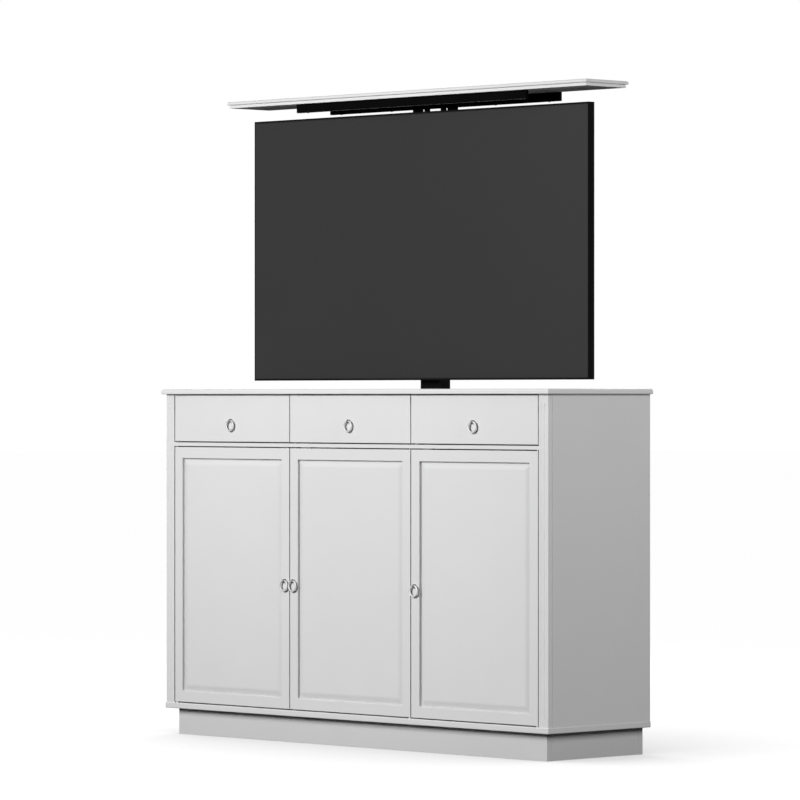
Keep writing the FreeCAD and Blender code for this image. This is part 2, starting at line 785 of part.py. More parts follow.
# ---------------------------------------------------------------- lift, carried part

def make_hanger():
    """Plate on the inner column's head, with two slotted bars that hang in front of the columns."""
    deep = "(column_y + inner_deep / 2 - head_front)"
    head = box("hanger_head", ("head_wide", deep, "plate_thick"), ("-head_wide / 2", "head_front", HEAD_LOW))
    bars = []
    slots = []
    for _, sign in SIDES:
        middle = f"{sign} * (hanger_in + hanger_wide / 2)"
        bars.append(box("hanger_bar", ("hanger_wide", "hanger_thick", "hanger_long"),
                        (f"{middle} - hanger_wide / 2", "hanger_front", f"{HEAD_LOW} - hanger_long")))
        for step in range(5):
            low = f"{HEAD_LOW} - slot_pitch * {step + 1}"
            slots.append(box("hanger_slot", ("slot_wide", "3 * hanger_thick", "slot_long"),
                             (f"{middle} - slot_wide / 2", "hanger_front - hanger_thick", low)))
    node("lift_hanger", cut("lift_hanger", fuse("hanger_blank", [head] + bars), slots))

    plate = body("screen_mount_plate", ("0", "hanger_front", "mount_low + stroke"))
    outline = sketch(plate, "XZ_Plane")
    rectangle(outline, ("mount_wide", "mount_tall"), ("-mount_wide / 2", "0"))
    for _, sign in SIDES:
        rectangle(outline, ("window_wide", "window_tall"),
                  (f"{sign} * window_x - window_wide / 2", "(mount_tall - window_tall) / 2"))
    feature(plate, "Pad", outline, "mount_thick")
    soften(plate, "column_round", lambda edge: edge.XLength < 1e-4 and edge.ZLength < 1e-4)
    node("screen_mount_plate", plate)


def make_lid_supports():
    """Two slotted arms and two flat tube rails that carry the lid."""
    arms = []
    upright_tall = f"(lid_low - {HEAD_TOP})"
    for _, sign in SIDES:
        left = f"{sign} * (arm_in + arm_wide / 2) - arm_wide / 2"
        slot_left = f"{sign} * (arm_in + arm_slot_in + arm_slot / 2) - arm_slot / 2"
        front = "(column_y - arm_thick / 2)"
        blade = box("arm_blade", ("arm_wide", "arm_thick", upright_tall), (left, front, HEAD_TOP))
        strap = box("arm_strap", ("arm_wide", "rail_back - rail_front - rail_deep", "arm_thick"),
                    (left, "rail_front + rail_deep", "lid_low - arm_thick"))
        way = box("arm_way", ("arm_slot", "3 * arm_thick", f"{upright_tall} - 2 * arm_slot_end"),
                  (slot_left, f"{front} - arm_thick", f"{HEAD_TOP} + arm_slot_end"))
        arms.append(cut("arm", fuse("arm_blank", [blade, strap]), [way]))
    node("lid_arms", group("lid_arms", arms))

    rails = []
    for start in ("rail_front", "rail_back"):
        low = "(lid_low - rail_tall)"
        bar = box("rail_bar", ("2 * rail_half", "rail_deep", "rail_tall"), ("rail_x - rail_half", start, low))
        size = ("2 * rail_half", "rail_deep - 2 * rail_wall", "rail_tall - 2 * rail_wall")
        way = ("rail_x - rail_half", f"{start} + rail_wall", f"{low} + rail_wall")
        hollow = box("rail_hollow", size, way)
        rails.append(cut("rail", bar, [hollow]))
    node("lid_rails", group("lid_rails", rails))


def make_lid():
    """Long lid: a narrow step that drops into the top, a fine groove and a wider rounded board."""
    piece = body("lid", ("0", "lid_y", "lid_low"))
    under = "(lid_step_tall + lid_groove_tall)"
    layers = (("lid_step", "0", "lid_step_tall"),
              ("(lid_step + lid_groove)", "0", under),
              ("0", under, "lid_top"))
    for inset, low, tall in layers:
        outline = sketch(piece, "XY_Plane", low)
        middle_rectangle(outline, (f"(lid_wide - 2 * {inset})", f"(lid_deep - 2 * {inset})"))
        feature(piece, "Pad", outline, tall)
    half = size_of("lid_wide / 2")
    deep = size_of("lid_deep / 2")
    rims = (("lid_round", level_at(size_of(under))),
            ("lid_top_round", level_at(size_of(f"{under} + lid_top"))))
    for radius, rim in rims:
        soften(piece, radius, lambda edge: rim(edge) and (
            abs(abs(edge.XMin) - half) < 1e-4 or abs(abs(edge.YMin) - deep) < 1e-4))
    node("lid", piece)


# ---------------------------------------------------------------- screen

def make_screen():
    frame = body("screen_frame", ("0", "tv_front", "tv_low"))
    outline = sketch(frame, "XZ_Plane")
    rectangle(outline, ("tv_wide", "tv_tall"), ("-tv_wide / 2", "0"))
    rectangle(outline, ("tv_wide - 2 * tv_bezel", "tv_tall - 2 * tv_strip"),
              ("tv_bezel - tv_wide / 2", "tv_strip"))
    feature(frame, "Pad", outline, "tv_frame_deep", back=True)
    soften(frame, "tv_glass_in", lambda edge: on_front(edge) and (
        edge.XLength > size_of("tv_wide") - 1 or edge.ZLength > size_of("tv_tall") - 1))
    node("screen_frame", frame)

    node("screen_glass", box("screen_glass", ("tv_wide - 2 * tv_bezel", "tv_glass", "tv_tall - 2 * tv_strip"),
                             ("tv_bezel - tv_wide / 2", "tv_front + tv_glass_in", "tv_low + tv_strip")))

    sheet_back = box("cover_sheet", ("tv_wide", "tv_back", "tv_tall"), ("-tv_wide / 2", TV_REAR, "tv_low"))
    outer = make_hump("cover_hump", "0", "hump_deep")
    space = make_hump("cover_space", "hump_wall", "hump_deep - hump_wall")
    node("screen_back_cover", cut("screen_back_cover", fuse("cover_blank", [sheet_back, outer]), [space]))


def make_hump(name, inset, deep):
    """Raised middle of the back cover, with sloped sides; inset makes the space inside it."""
    piece = doc.addObject("Part::Wedge", name)
    start = "0" if inset == "0" else "-tv_back"
    half = f"(hump_wide / 2 - {inset})"
    top = f"(hump_tall - {inset})"
    edges = {
        "Ymin": start, "Ymax": deep,
        "Xmin": f"-{half}", "Xmax": half,
        "X2min": f"hump_slope - {half}", "X2max": f"{half} - hump_slope",
        "Zmin": inset, "Zmax": top,
        "Z2min": f"{inset} + hump_slope", "Z2max": f"{top} - hump_slope",
    }
    for edge, formula in edges.items():
        setattr(piece, edge, size_of(formula))
        piece.setExpression(edge, sized(formula))
    return placed(piece, ("0", f"{TV_REAR} + tv_back", "tv_low + hump_low"))


# ---------------------------------------------------------------- build and write

sheet = fill_sheet()
make_plinth()
make_bottom_board()
make_top_board()
make_sides()
make_deck()
make_dividers()
make_well()
make_shelves()
make_drawers()
make_doors()
make_lift_base()
make_drive()
make_columns()
make_hanger()
make_lid_supports()
make_lid()
make_screen()
doc.recompute()

failed = [item.Name for item in doc.Objects if "Invalid" in item.State or "Error" in item.State]
if failed:
    raise RuntimeError("not built: " + ", ".join(failed))
for piece in nodes:
    if piece.Shape.isNull() or not piece.Shape.isValid():
        raise RuntimeError("bad shape: " + piece.Label)

os.makedirs("parts", exist_ok=True)
for piece in nodes:
    piece.Shape.exportStep(f"parts/{piece.Label}.step")
print(len(nodes), "nodes written")
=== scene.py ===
"""Looks of the television lift cabinet: studio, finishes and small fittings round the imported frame."""

from math import cos, radians, sin, tau

import bmesh
import bpy
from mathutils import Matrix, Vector


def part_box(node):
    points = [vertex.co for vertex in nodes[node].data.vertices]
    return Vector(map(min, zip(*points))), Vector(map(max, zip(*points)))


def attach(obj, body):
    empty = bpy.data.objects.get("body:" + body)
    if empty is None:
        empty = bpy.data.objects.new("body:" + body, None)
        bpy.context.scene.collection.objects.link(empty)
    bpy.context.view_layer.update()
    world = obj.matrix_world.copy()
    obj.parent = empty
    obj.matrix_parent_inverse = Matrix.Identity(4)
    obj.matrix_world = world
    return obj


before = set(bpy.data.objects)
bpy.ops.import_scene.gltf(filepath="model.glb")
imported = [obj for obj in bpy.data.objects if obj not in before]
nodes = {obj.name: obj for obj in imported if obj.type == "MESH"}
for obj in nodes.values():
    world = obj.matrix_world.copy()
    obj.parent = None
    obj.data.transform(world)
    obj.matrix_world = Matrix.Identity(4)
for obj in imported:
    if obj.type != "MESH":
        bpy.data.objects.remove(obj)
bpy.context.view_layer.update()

# ---------------------------------------------------------------- studio
# A wide floor that shows white, with a contact shadow painted into its glow, a white surround, and
# three soft lamps: the strongest in front and above the lid, a weaker one on the right, and one behind
# for the back.

scene = bpy.context.scene
scene.view_settings.view_transform = "Standard"

LENS = 214.92
SENSOR = 36.0
HORIZON_SHIFT = -0.0025
EYE = Vector((10.3637, -10.0193, 1.0441))
VIEW_LINE = Vector((-0.7189, 0.6952, 0.0))
FARTHEST = 100.0

camera_data = bpy.data.cameras.new("camera")
camera_data.lens = LENS
camera_data.sensor_width = SENSOR
camera_data.shift_y = HORIZON_SHIFT
camera_data.clip_end = FARTHEST
camera = bpy.data.objects.new("camera", camera_data)
camera.location = EYE
camera.rotation_euler = VIEW_LINE.to_track_quat("-Z", "Y").to_euler()
scene.collection.objects.link(camera)
scene.camera = camera


def lamp(name, place, target, size, watts):
    """A square soft lamp aimed at a point."""
    data = bpy.data.lights.new(name, "AREA")
    data.shape = "SQUARE"
    data.size = size
    data.energy = watts
    stand = bpy.data.objects.new(name, data)
    stand.location = place
    stand.rotation_euler = (Vector(target) - Vector(place)).to_track_quat("-Z", "Y").to_euler()
    scene.collection.objects.link(stand)


lamp("key_lamp", (-0.35, -4.6, 2.60), (-0.1, -0.2, 0.9), size=2.3, watts=229)
lamp("side_lamp", (4.6, -0.1, 2.4), (0.8, 0.0, 0.9), size=2.1, watts=97)
lamp("back_lamp", (-2.2, 4.6, 2.4), (0.0, 0.2, 1.0), size=2.0, watts=130)


def seen_directly(tree):
    """1 for camera, mirror and glass rays, 0 for the light that falls on things."""
    path = tree.nodes.new("ShaderNodeLightPath")
    total = path.outputs["Is Camera Ray"]
    for ray in ("Is Glossy Ray", "Is Transmission Ray"):
        step = tree.nodes.new("ShaderNodeMath")
        step.operation = "MAXIMUM"
        tree.links.new(total, step.inputs[0])
        tree.links.new(path.outputs[ray], step.inputs[1])
        total = step.outputs[0]
    return total


SKY = 0.01
world = bpy.data.worlds.new("surround")
scene.world = world
world.use_nodes = True
tree = world.node_tree
tree.nodes.clear()
dim = tree.nodes.new("ShaderNodeBackground")
dim.inputs["Color"].default_value = (1, 1, 1, 1)
dim.inputs["Strength"].default_value = SKY
white = tree.nodes.new("ShaderNodeBackground")
white.inputs["Color"].default_value = (1, 1, 1, 1)
white.inputs["Strength"].default_value = 1.0
blend = tree.nodes.new("ShaderNodeMixShader")
out = tree.nodes.new("ShaderNodeOutputWorld")
tree.links.new(seen_directly(tree), blend.inputs[0])
tree.links.new(dim.outputs[0], blend.inputs[1])
tree.links.new(white.outputs[0], blend.inputs[2])
tree.links.new(blend.outputs[0], out.inputs["Surface"])

FLOOR_HALF = 60.0
FLOOR_BOUNCE = 0.05
FLOOR_SHOWN = 0.12
FLOOR_GLOW = (0.66, 0.985)
CONTACT_REACH = 1.5
CONTACT_SHARES = (0.5, 0.90)
SHADOW_LEAN = Vector((-0.20, -0.14, 1)).normalized()
bm = bmesh.new()
bmesh.ops.create_grid(bm, x_segments=1, y_segments=1, size=FLOOR_HALF)
floor_mesh = bpy.data.meshes.new("floor")
bm.to_mesh(floor_mesh)
bm.free()
floor = bpy.data.objects.new("floor", floor_mesh)
scene.collection.objects.link(floor)
paper = bpy.data.materials.new("studio_paper")
paper.use_nodes = True
tree = paper.node_tree
tree.nodes.clear()
bounce = tree.nodes.new("ShaderNodeBsdfDiffuse")
bounce.inputs["Color"].default_value = (FLOOR_BOUNCE, FLOOR_BOUNCE, FLOOR_BOUNCE, 1)
shown = tree.nodes.new("ShaderNodeBsdfDiffuse")
shown.inputs["Color"].default_value = (FLOOR_SHOWN, FLOOR_SHOWN, FLOOR_SHOWN, 1)
glow = tree.nodes.new("ShaderNodeEmission")
# The floor's glow dims near the cabinet, more to its right and back: a painted contact shadow.
contact = tree.nodes.new("ShaderNodeAmbientOcclusion")
contact.samples = 16
contact.inputs["Distance"].default_value = CONTACT_REACH
lean = tree.nodes.new("ShaderNodeCombineXYZ")
for axis, share in zip("XYZ", SHADOW_LEAN):
    lean.inputs[axis].default_value = share
tree.links.new(lean.outputs[0], contact.inputs["Normal"])
contact_shadow_fade = tree.nodes.new("ShaderNodeMapRange")
contact_shadow_fade.inputs["From Min"].default_value, contact_shadow_fade.inputs["From Max"].default_value = CONTACT_SHARES
contact_shadow_fade.inputs["To Min"].default_value, contact_shadow_fade.inputs["To Max"].default_value = FLOOR_GLOW
tree.links.new(contact.outputs["AO"], contact_shadow_fade.inputs["Value"])
tree.links.new(contact_shadow_fade.outputs["Result"], glow.inputs["Strength"])
summed = tree.nodes.new("ShaderNodeAddShader")
blend = tree.nodes.new("ShaderNodeMixShader")
out = tree.nodes.new("ShaderNodeOutputMaterial")
tree.links.new(shown.outputs[0], summed.inputs[0])
tree.links.new(glow.outputs[0], summed.inputs[1])
tree.links.new(seen_directly(tree), blend.inputs[0])
tree.links.new(bounce.outputs[0], blend.inputs[1])
tree.links.new(summed.outputs[0], blend.inputs[2])
tree.links.new(blend.outputs[0], out.inputs["Surface"])
floor_mesh.materials.append(paper)


# ---------------------------------------------------------------- case
# Smooth fibre boards for plinth, case and fronts, glued and sprayed with satin white lacquer. The
# spray leaves a faint orange-peel skin, rubbed where the arrises wear. Painted shade darkens the
# stiles' inner edges, the corner over the plinth, the rims of the panels and what lies close under
# the top, and the plinth's white is a little darker as painted shade.

MM = 0.001


class Finish:
    """A surface finish that is built up layer by layer on one shader."""

    def __init__(self, name, colour, roughness, metallic=0.0, specular=0.5):
        self.material = bpy.data.materials.new(name)
        self.material.use_nodes = True
        self.tree = self.material.node_tree
        self.shader = self.tree.nodes["Principled BSDF"]
        self.shader.inputs["Base Color"].default_value = (*colour, 1)
        self.shader.inputs["Roughness"].default_value = roughness
        self.shader.inputs["Metallic"].default_value = metallic
        self.shader.inputs["Specular IOR Level"].default_value = specular
        self.place = self.tree.nodes.new("ShaderNodeTexCoord").outputs["Object"]

    def link(self, source, target):
        self.tree.links.new(source, target)

    def current(self, name, target):
        """Passes what the shader's input has now on to another node's input."""
        socket = self.shader.inputs[name]
        if socket.is_linked:
            self.link(socket.links[0].from_socket, target)
        elif name != "Normal":
            target.default_value = socket.default_value

    def noise(self, scale, stretch=(1, 1, 1), detail=2.0):
        """Soft random values, 0 to 1, at so many lumps a metre."""
        mapping = self.tree.nodes.new("ShaderNodeMapping")
        mapping.inputs["Scale"].default_value = stretch
        self.link(self.place, mapping.inputs["Vector"])
        texture = self.tree.nodes.new("ShaderNodeTexNoise")
        texture.inputs["Scale"].default_value = scale
        texture.inputs["Detail"].default_value = detail
        self.link(mapping.outputs[0], texture.inputs["Vector"])
        return texture.outputs["Fac"]

    def ramp(self, source, low, high, from_low=0.0, from_high=1.0):
        """Maps values to a new range, clamped."""
        span = self.tree.nodes.new("ShaderNodeMapRange")
        span.inputs["From Min"].default_value = from_low
        span.inputs["From Max"].default_value = from_high
        span.inputs["To Min"].default_value = low
        span.inputs["To Max"].default_value = high
        self.link(source, span.inputs["Value"])
        return span.outputs["Result"]

    def tint(self, mask, colour):
        """Lays a colour over the base where the mask says."""
        mix = self.tree.nodes.new("ShaderNodeMix")
        mix.data_type = "RGBA"
        self.current("Base Color", mix.inputs["A"])
        mix.inputs["B"].default_value = (*colour, 1)
        self.link(mask, mix.inputs["Factor"])
        self.link(mix.outputs["Result"], self.shader.inputs["Base Color"])
        return self

    def mottle(self, scale, spread, stretch=(1, 1, 1), detail=3.0):
        """Slow changes in the base colour, darker and lighter by a share."""
        mix = self.tree.nodes.new("ShaderNodeMix")
        mix.data_type = "RGBA"
        mix.blend_type = "MULTIPLY"
        mix.inputs["Factor"].default_value = 1.0
        self.current("Base Color", mix.inputs["A"])
        value = self.ramp(self.noise(scale, stretch, detail), 1 - spread, 1 + spread, 0.3, 0.7)
        self.link(value, mix.inputs["B"])
        self.link(mix.outputs["Result"], self.shader.inputs["Base Color"])
        return self

    def gloss(self, scale, low, high):
        """Roughness that wanders between two values."""
        value = self.ramp(self.noise(scale, detail=4.0), low, high, 0.3, 0.7)
        self.link(value, self.shader.inputs["Roughness"])
        return self

    def relief(self, height, depth, strength):
        """Adds a bump of the given depth in metres."""
        bump = self.tree.nodes.new("ShaderNodeBump")
        bump.inputs["Strength"].default_value = strength
        bump.inputs["Distance"].default_value = depth
        self.link(height, bump.inputs["Height"])
        self.current("Normal", bump.inputs["Normal"])
        self.link(bump.outputs[0], self.shader.inputs["Normal"])
        return self

    def edges(self, width):
        """1 along sharp edges, within a width in metres, 0 elsewhere."""
        bevel = self.tree.nodes.new("ShaderNodeBevel")
        bevel.samples = 4
        bevel.inputs["Radius"].default_value = width
        flat = self.tree.nodes.new("ShaderNodeNewGeometry")
        dot = self.tree.nodes.new("ShaderNodeVectorMath")
        dot.operation = "DOT_PRODUCT"
        self.link(bevel.outputs[0], dot.inputs[0])
        self.link(flat.outputs["Normal"], dot.inputs[1])
        return self.ramp(dot.outputs["Value"], 1.0, 0.0, 0.75, 0.98)

    def beyond(self, axis, place, side):
        """1 past a place on an axis where side is 1, or short of it where side is -1, and 0 elsewhere."""
        soft = 0.1 * MM
        axes = self.tree.nodes.new("ShaderNodeSeparateXYZ")
        self.link(self.place, axes.inputs[0])
        return self.ramp(axes.outputs[axis], 0.0, 1.0, place - side * soft, place + side * soft)

    def sideways(self):
        """1 on faces that look to the left or right of the piece, 0 on the others."""
        axes = self.tree.nodes.new("ShaderNodeSeparateXYZ")
        self.link(self.tree.nodes.new("ShaderNodeTexCoord").outputs["Normal"], axes.inputs[0])
        length = self.tree.nodes.new("ShaderNodeMath")
        length.operation = "ABSOLUTE"
        self.link(axes.outputs["X"], length.inputs[0])
        return self.ramp(length.outputs[0], 0.0, 1.0, 0.5, 0.9)

    def both(self, first, second):
        """The part that two masks share."""
        product = self.tree.nodes.new("ShaderNodeMath")
        product.operation = "MULTIPLY"
        self.link(first, product.inputs[0])
        self.link(second, product.inputs[1])
        return product.outputs[0]

    def recess(self, reach, dark, clear):
        """1 where surfaces within a reach leave the share dark of the light, 0 where they leave clear."""
        contact = self.tree.nodes.new("ShaderNodeAmbientOcclusion")
        contact.samples = 8
        contact.inputs["Distance"].default_value = reach
        return self.ramp(contact.outputs["AO"], 1.0, 0.0, dark, clear)

    def edge_line(self, width, colour, amount):
        """A line of another colour along the edges, broken up by noise: wear on the lacquer, wear and
        painted sheen on the rails.
        """
        patch = self.ramp(self.noise(40, detail=4.0), 0.0, amount, 0.35, 0.65)
        return self.tint(self.both(self.edges(width), patch), colour)


def dress(finish, *names):
    """Gives CAD nodes a finish."""
    for name in names:
        nodes[name].material_slots[0].material = finish.material


def ease(width, *names, angle=30):
    """Rounds the sharp edges of CAD pieces a little, as sanding and filing do."""
    for name in names:
        weld = nodes[name].modifiers.new("weld", "WELD")
        weld.merge_threshold = 0.01 * MM
        bevel = nodes[name].modifiers.new("ease", "BEVEL")
        bevel.width = width
        bevel.segments = 3
        bevel.limit_method = "ANGLE"
        bevel.angle_limit = radians(angle)
        bevel.use_clamp_overlap = True
        smooth = nodes[name].modifiers.new("smooth", "WEIGHTED_NORMAL")
        smooth.keep_sharp = False
        smooth.weight = 100


SIDES = ("left", "middle", "right")
WHITE = 0.80
PLINTH_SHADED_WHITE = 0.73
SHEEN = 0.1
RUBBED = (0.66, 0.655, 0.64)
RUB_WIDTH = 0.7 * MM


def sprayed(name, white, specular):
    """The white lacquer of the whole cabinet at a given white, with more or less shine; the plinth's
    darker white is painted shade.
    """
    paint = Finish(name, (white, white, white), 0.45, specular=specular)
    paint.mottle(1.7, 0.012).mottle(9.0, 0.006)
    paint.gloss(14, 0.40, 0.50)
    paint.relief(paint.noise(420, detail=1.0), 0.03 * MM, 0.35)
    paint.relief(paint.noise(60, detail=2.0), 0.05 * MM, 0.25)
    return paint.edge_line(RUB_WIDTH, RUBBED, 0.5)


UNDER_TOP_REACH = 50 * MM
UNDER_TOP_SHADE = (0.71, 0.71, 0.71)
lacquer = sprayed("white_lacquer", WHITE, SHEEN)
# Painted shade: the fronts and sides darken within a short reach under the top board's overhang.
under_top = lacquer.beyond("Z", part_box("top_board")[0][2] - UNDER_TOP_REACH, 1)
lacquer.tint(lacquer.both(under_top, lacquer.recess(UNDER_TOP_REACH, 0.70, 0.99)), UNDER_TOP_SHADE)
dress(lacquer, "bottom_board", "top_board", "side_left", "side_right", "post_left", "post_right",
      "drawer_deck")

CORNER_FROM = 40 * MM
CORNER_REACH = 25 * MM
CORNER_SHADE = (0.004, 0.004, 0.004)
# The plinth takes the lacquer with a darker white: painted shade for its place under the overhang.
plinth_lacquer = sprayed("white_plinth_lacquer", PLINTH_SHADED_WHITE, 0.0)
# Painted shade: a near-black band in the corner under the bottom board's overhang.
high = plinth_lacquer.beyond("Z", CORNER_FROM, 1)
deep = plinth_lacquer.recess(CORNER_REACH, 0.605, 0.635)
plinth_lacquer.tint(plinth_lacquer.both(high, deep), CORNER_SHADE)
dress(plinth_lacquer, "plinth_front", "plinth_back", "plinth_returns")

PANEL_REACH = 30 * MM
PANEL_RIM_SHADE = (0.66, 0.66, 0.66)
panel_lacquer = sprayed("white_panel_lacquer", WHITE, SHEEN)
# Painted shade: the panels darken near the frame round them.
panel_lacquer.tint(panel_lacquer.recess(PANEL_REACH, 0.45, 0.96), PANEL_RIM_SHADE)

STILE_REACH = 20 * MM
STILE_EDGE_SHADE = (0.54, 0.54, 0.54)
frame_lacquer = sprayed("white_frame_lacquer", WHITE, SHEEN)
# Painted shade: the stiles' inner edges darken beside the panel, but not in the gaps.
shaded_stile_edges = frame_lacquer.both(frame_lacquer.sideways(), frame_lacquer.recess(STILE_REACH, 0.50, 0.90))
not_in_gaps = frame_lacquer.recess(STILE_REACH, 0.50, 0.30)
frame_lacquer.tint(frame_lacquer.both(shaded_stile_edges, not_in_gaps), STILE_EDGE_SHADE)

BOARD_ARRIS = 0.8 * MM
PANEL_ARRIS = 4.0 * MM
for side in SIDES:
    dress(lacquer, f"drawer_{side}_front")
    dress(frame_lacquer, f"door_{side}_frame")
    dress(panel_lacquer, f"door_{side}_panel")
ease(BOARD_ARRIS, "plinth_front", "plinth_back", "plinth_returns", "drawer_deck", "side_left",
     "side_right")
ease(PANEL_ARRIS, *(f"door_{side}_panel" for side in SIDES), angle=12)

# ---------------------------------------------------------------- inner boards
# Particle board faced with matt white melamine: dividers, partition, back, shelves and battens.
# Cam fittings hold the dividers and the side panels to the boards under and over them.

melamine = Finish("white_melamine", (0.76, 0.76, 0.755), 0.6, specular=0.25)
melamine.mottle(2.3, 0.012)
melamine.gloss(30, 0.52, 0.66)
melamine.relief(melamine.noise(900, detail=2.0), 0.03 * MM, 0.5)
MELAMINE_ARRIS = 0.6 * MM
INNER_BOARDS = ("lower_dividers", "upper_dividers", "well_partition", "back_panel", "shelves",
                "shelf_battens")
dress(melamine, *INNER_BOARDS)
ease(MELAMINE_ARRIS, *INNER_BOARDS)

steel = Finish("zinc_steel", (0.58, 0.58, 0.60), 0.35, metallic=1.0)
steel.mottle(70, 0.08)
steel.gloss(90, 0.26, 0.42)

UP = Vector((0, 0, 1))
RIGHT = Vector((1, 0, 0))
BACK = Vector((0, 1, 0))
ARRIS_ANGLE = radians(35)


def corners(name):
    """Lowest and highest corner of a CAD node."""
    low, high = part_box(name)
    return Vector(low), Vector(high)


def spread(first, last, count):
    """Evenly spaced places from the first to the last."""
    return [first + (last - first) * step / (count - 1) for step in range(count)]


def piece(name, bm, finish, body, bevel=0.0):
    """Makes an object of a mesh, eases its edges and fixes it to the body that it moves with."""
    bmesh.ops.recalc_face_normals(bm, faces=bm.faces)
    mesh = bpy.data.meshes.new(name)
    bm.to_mesh(mesh)
    bm.free()
    mesh.shade_smooth()
    mesh.set_sharp_from_angle(angle=ARRIS_ANGLE)
    mesh.materials.append(finish.material)
    item = bpy.data.objects.new(name, mesh)
    scene.collection.objects.link(item)
    if bevel:
        arris = item.modifiers.new("arris", "BEVEL")
        arris.width = bevel
        arris.segments = 2
        arris.limit_method = "ANGLE"
        arris.angle_limit = ARRIS_ANGLE
        arris.harden_normals = True
    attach(item, body)


def block(bm, low, high):
    """A block between two corners."""
    low, high = Vector(low), Vector(high)
    made = bmesh.ops.create_cube(bm, size=1.0)["verts"]
    for corner in made:
        corner.co = (low + high) / 2 + Vector(c * s for c, s in zip(corner.co, high - low))


def turned(bm, foot, along, profile, turns=28, hollow=False):
    """A turned solid: pairs of rise and radius, in millimetres, swept round an axis."""
    side = along.orthogonal().normalized()
    front = along.cross(side)
    rings = []
    for rise, radius in profile:
        middle = Vector(foot) + along * rise * MM
        angles = [tau * turn / turns for turn in range(turns)]
        rings.append([bm.verts.new(middle + (side * cos(angle) + front * sin(angle)) * radius * MM)
                      for angle in angles])
    for lower, upper in zip(rings, rings[1:] + rings[:1] if hollow else rings[1:]):
        for turn in range(turns):
            after = (turn + 1) % turns
            bm.faces.new((lower[turn], lower[after], upper[after], upper[turn]))
    if not hollow:
        bm.faces.new(rings[0][::-1])
        bm.faces.new(rings[-1])


def screw_head(bm, place, along, radius):
    """A low domed screw head with a round drive recess, of a radius in millimetres."""
    rise = 0.45 * radius
    turned(bm, place, along, ((0, radius), (0.35 * rise, radius), (0.75 * rise, 0.86 * radius),
                              (rise, 0.55 * radius), (rise, 0.40 * radius), (0.35 * rise, 0.34 * radius)))


CAM = ((0, 7.5), (0.5, 7.5), (0.8, 7.2), (0.8, 2.6), (0.3, 2.3))
CAM_UP = 32 * MM
CAM_IN = (34 * MM, 118 * MM)
DIVIDER = 15 * MM

divider_low, divider_high = corners("lower_dividers")
side_inner = corners("side_right")[0].x
bm = bmesh.new()
for sign in (-1, 1):
    faces = ((side_inner, -sign), (divider_high.x, sign), (divider_high.x - DIVIDER, -sign))
    for x, toward in faces:
        for inset in CAM_IN:
            for z in (divider_low.z + CAM_UP, divider_high.z - CAM_UP):
                turned(bm, (sign * x, divider_low.y + inset, z), RIGHT * toward, CAM)
piece("cam_discs", bm, steel, "cabinet")

# ---------------------------------------------------------------- back
# The back panel of melamine board stands between the sides, screwed from behind to cleats round the
# inside of the well. Its round hole for the cables has a plastic grommet.

plastic = Finish("black_plastic", (0.018, 0.018, 0.019), 0.55, specular=0.15)
plastic.mottle(12, 0.10)
plastic.gloss(50, 0.48, 0.62)
plastic.relief(plastic.noise(1300, detail=2.0), 0.05 * MM, 0.6)

CLEAT = 18 * MM
BACK_HEAD = 3.8
panel_low, panel_high = corners("back_panel")
plate_low, plate_high = corners("lift_base_plate")
inner = panel_high.x - CLEAT
cleat_top = panel_low.z + CLEAT
# The left, right, low and high edge of each cleat, and how many screws go into it.
cleats = (
    (-panel_high.x, -inner, panel_low.z, panel_high.z, 6),
    (inner, panel_high.x, panel_low.z, panel_high.z, 6),
    (-inner, inner, panel_high.z - CLEAT, panel_high.z, 9),
    (-inner, plate_low.x - CLEAT, panel_low.z, cleat_top, 4),
    (plate_high.x + CLEAT, inner, panel_low.z, cleat_top, 4),
)
wood = bmesh.new()
heads = bmesh.new()
for left, right, low, high, count in cleats:
    block(wood, (left, panel_low.y - CLEAT, low), (right, panel_low.y, high))
    middle_x = (left + right) / 2
    middle_z = (low + high) / 2
    if high - low > right - left:
        places = [(middle_x, z) for z in spread(low + 2 * CLEAT, high - 2 * CLEAT, count)]
    else:
        places = [(x, middle_z) for x in spread(left + CLEAT, right - CLEAT, count)]
    for x, z in places:
        screw_head(heads, (x, panel_high.y, z), BACK, BACK_HEAD)
piece("back_cleats", wood, melamine, "cabinet", bevel=BOARD_ARRIS)
piece("back_screws", heads, steel, "cabinet")

OUTLET_X = -420 * MM
OUTLET_UP = 150 * MM
OUTLET = Vector((OUTLET_X, panel_high.y, panel_low.z + OUTLET_UP))
SLEEVE = 10
GROMMET = ((0, 27), (0, 29.6), (SLEEVE, 29.6), (SLEEVE, 36), (11.8, 36), (12.4, 35.4), (12.4, 28.2),
           (11.4, 27))
bm = bmesh.new()
turned(bm, OUTLET - BACK * SLEEVE * MM, BACK, GROMMET, turns=72, hollow=True)
piece("cable_grommet", bm, plastic, "cabinet")

# ---------------------------------------------------------------- drawer boxes
# Birch plywood boxes with a clear lacquer, open at the front end, which the drawer fronts close.
# Cam fittings hold the fronts, and the rims show the plies. The guides are screwed to the deck.

BOX_REACH = 12 * MM
BOX_RECESS_SHADE = (0.11, 0.105, 0.10)
birch = Finish("birch_board", (0.60, 0.49, 0.36), 0.5, specular=0.2)
birch.mottle(3.0, 0.10, (8, 1, 8), 4.0)
birch.mottle(26.0, 0.10, (10, 1, 10), 5.0)
birch.gloss(20, 0.42, 0.58)
birch.relief(birch.noise(60, (14, 1, 14), 4.0), 0.08 * MM, 0.4)
# Painted shade: the birch darkens in corners and gaps.
birch.tint(birch.recess(BOX_REACH, 0.25, 0.60), BOX_RECESS_SHADE)
dress(birch, "drawer_guides", *(f"drawer_{side}_box" for side in SIDES))
ease(BOARD_ARRIS, "drawer_guides", *(f"drawer_{side}_box" for side in SIDES))

cross_ply = Finish("birch_cross_ply", (0.36, 0.24, 0.14), 0.6, specular=0.2)
cross_ply.mottle(90, 0.12)
cross_ply.gloss(60, 0.5, 0.7)

